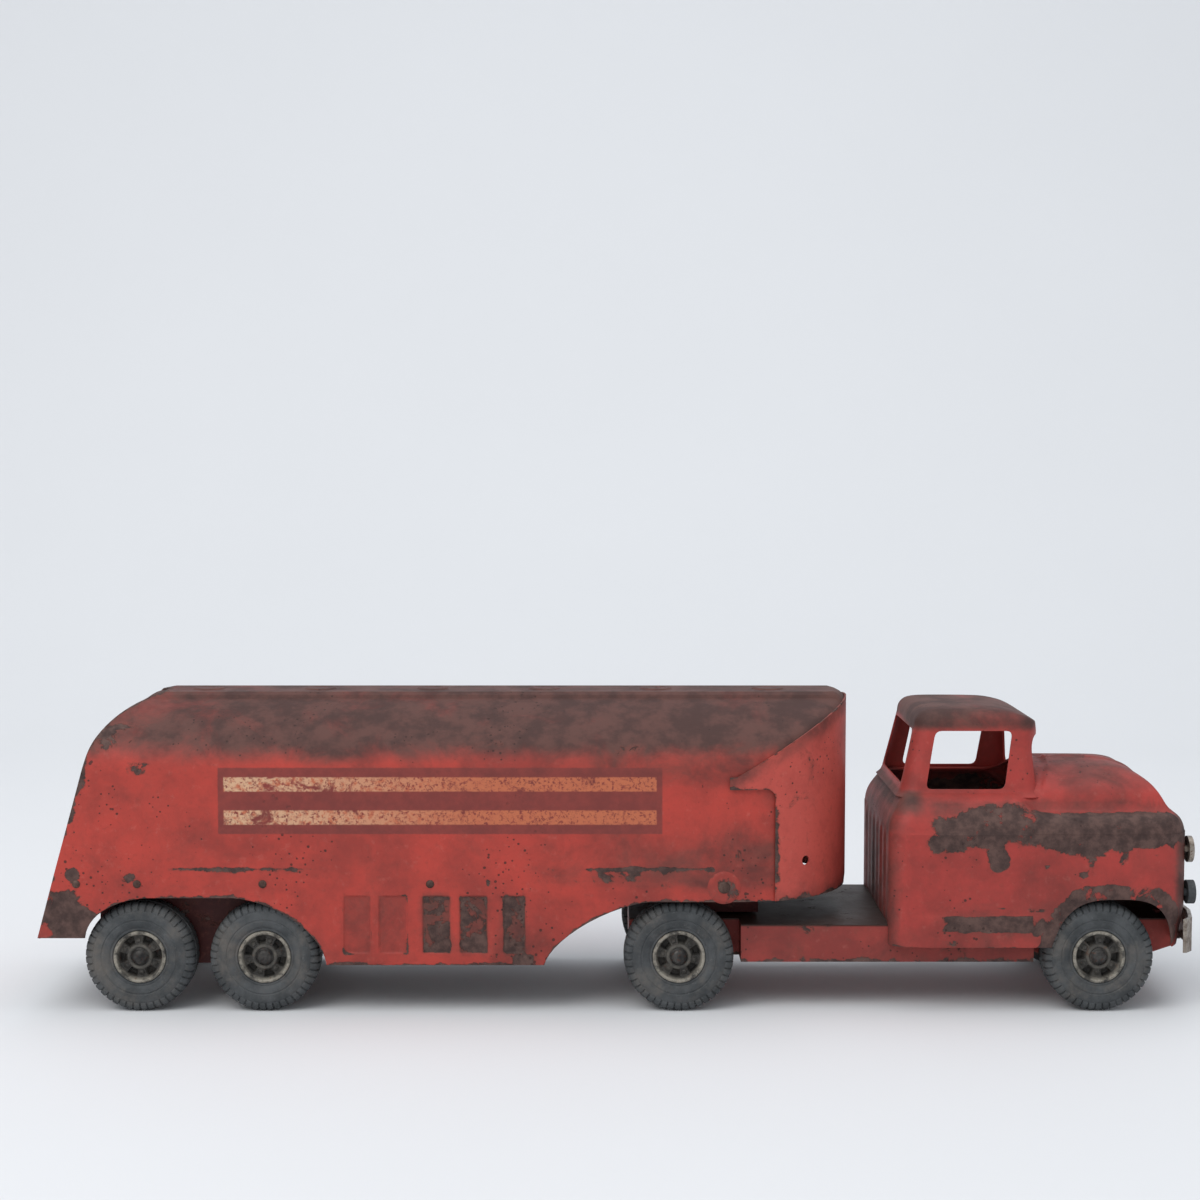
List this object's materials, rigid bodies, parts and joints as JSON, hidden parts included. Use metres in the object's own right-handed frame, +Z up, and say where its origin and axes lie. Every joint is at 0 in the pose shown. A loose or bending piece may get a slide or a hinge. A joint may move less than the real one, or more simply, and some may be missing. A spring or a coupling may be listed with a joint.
{
  "type": "toy tanker lorry",
  "caption": "Pressed-steel toy tanker lorry: open-window cab tractor and a round-nosed tank trailer that swings on a kingpin, all on free-rolling rubber-tyred wheels.",
  "frame": {"origin": "on the floor under the middle of the whole lorry", "axes": "+X forward to the bumper, +Y to the left side, +Z up"},
  "size_m": [0.6134, 0.1268, 0.1659],
  "materials": {
    "tractor_enamel": "chalky red enamel, worn brown",
    "tank_enamel": "chalky red enamel, worn brown",
    "worn_plate": "dull plated steel with rust",
    "bright_steel": "dull steel",
    "tyre": "aged slate rubber",
    "hub": "dull dark moulding with a worn pale rim",
    "dark_rubber": "dull rubber"
  },
  "bodies": {
    "tractor": {"tractor_frame": "tractor_enamel", "cab_shell": "tractor_enamel", "cab_rivets": "tractor_enamel", "grille": "worn_plate", "headlamp_right": "worn_plate", "headlamp_left": "worn_plate", "bumper_guard_right": "dark_rubber", "bumper_guard_left": "dark_rubber", "front_bumper": "worn_plate", "bumper_brackets": "tractor_enamel", "kingpin_washer": "bright_steel", "front_axle": "bright_steel", "drive_axle": "bright_steel", "tractor_axle_nuts": "bright_steel"},
    "trailer": {"tank_sheet": "tank_enamel", "nose_panel": "tank_enamel", "rear_panel": "tank_enamel", "cross_brace": "tank_enamel", "coupling_bridge": "tank_enamel", "kingpin": "bright_steel", "kingpin_clip": "bright_steel", "bridge_screws": "bright_steel", "bogie_bracket": "tank_enamel", "bogie_rivets": "tank_enamel", "brace_rivets": "tank_enamel", "tail_rivets": "tank_enamel", "trailer_front_axle": "bright_steel", "trailer_rear_axle": "bright_steel", "trailer_axle_nuts": "bright_steel"},
    "front_wheel_right": {"front_tyre_right": "tyre", "front_hub_right": "hub"},
    "front_wheel_left": {"front_tyre_left": "tyre", "front_hub_left": "hub"},
    "drive_wheel_right": {"drive_tyre_right": "tyre", "drive_hub_right": "hub"},
    "drive_wheel_left": {"drive_tyre_left": "tyre", "drive_hub_left": "hub"},
    "trailer_front_wheel_right": {"trailer_front_tyre_right": "tyre", "trailer_front_hub_right": "hub"},
    "trailer_front_wheel_left": {"trailer_front_tyre_left": "tyre", "trailer_front_hub_left": "hub"},
    "trailer_rear_wheel_right": {"trailer_rear_tyre_right": "tyre", "trailer_rear_hub_right": "hub"},
    "trailer_rear_wheel_left": {"trailer_rear_tyre_left": "tyre", "trailer_rear_hub_left": "hub"}
  },
  "joints": [
    {"name": "trailer_swing", "type": "hinge", "parent": "tractor", "child": "trailer", "pos_m": [0.06125, 0, 0.045], "axis": [0, 0, 1], "range_deg": [-75, 75]},
    {"name": "front_spin_right", "type": "hinge", "parent": "tractor", "child": "front_wheel_right", "pos_m": [0.25325, -0.05, 0.0292], "axis": [0, 1, 0], "continuous": true},
    {"name": "front_spin_left", "type": "hinge", "parent": "tractor", "child": "front_wheel_left", "pos_m": [0.25325, 0.05, 0.0292], "axis": [0, 1, 0], "continuous": true},
    {"name": "drive_spin_right", "type": "hinge", "parent": "tractor", "child": "drive_wheel_right", "pos_m": [0.03125, -0.05, 0.0292], "axis": [0, 1, 0], "continuous": true},
    {"name": "drive_spin_left", "type": "hinge", "parent": "tractor", "child": "drive_wheel_left", "pos_m": [0.03125, 0.05, 0.0292], "axis": [0, 1, 0], "continuous": true},
    {"name": "trailer_front_spin_right", "type": "hinge", "parent": "trailer", "child": "trailer_front_wheel_right", "pos_m": [-0.18775, -0.05, 0.0292], "axis": [0, 1, 0], "continuous": true},
    {"name": "trailer_front_spin_left", "type": "hinge", "parent": "trailer", "child": "trailer_front_wheel_left", "pos_m": [-0.18775, 0.05, 0.0292], "axis": [0, 1, 0], "continuous": true},
    {"name": "trailer_rear_spin_right", "type": "hinge", "parent": "trailer", "child": "trailer_rear_wheel_right", "pos_m": [-0.25375, -0.05, 0.0292], "axis": [0, 1, 0], "continuous": true},
    {"name": "trailer_rear_spin_left", "type": "hinge", "parent": "trailer", "child": "trailer_rear_wheel_left", "pos_m": [-0.25375, 0.05, 0.0292], "axis": [0, 1, 0], "continuous": true}
  ]
}
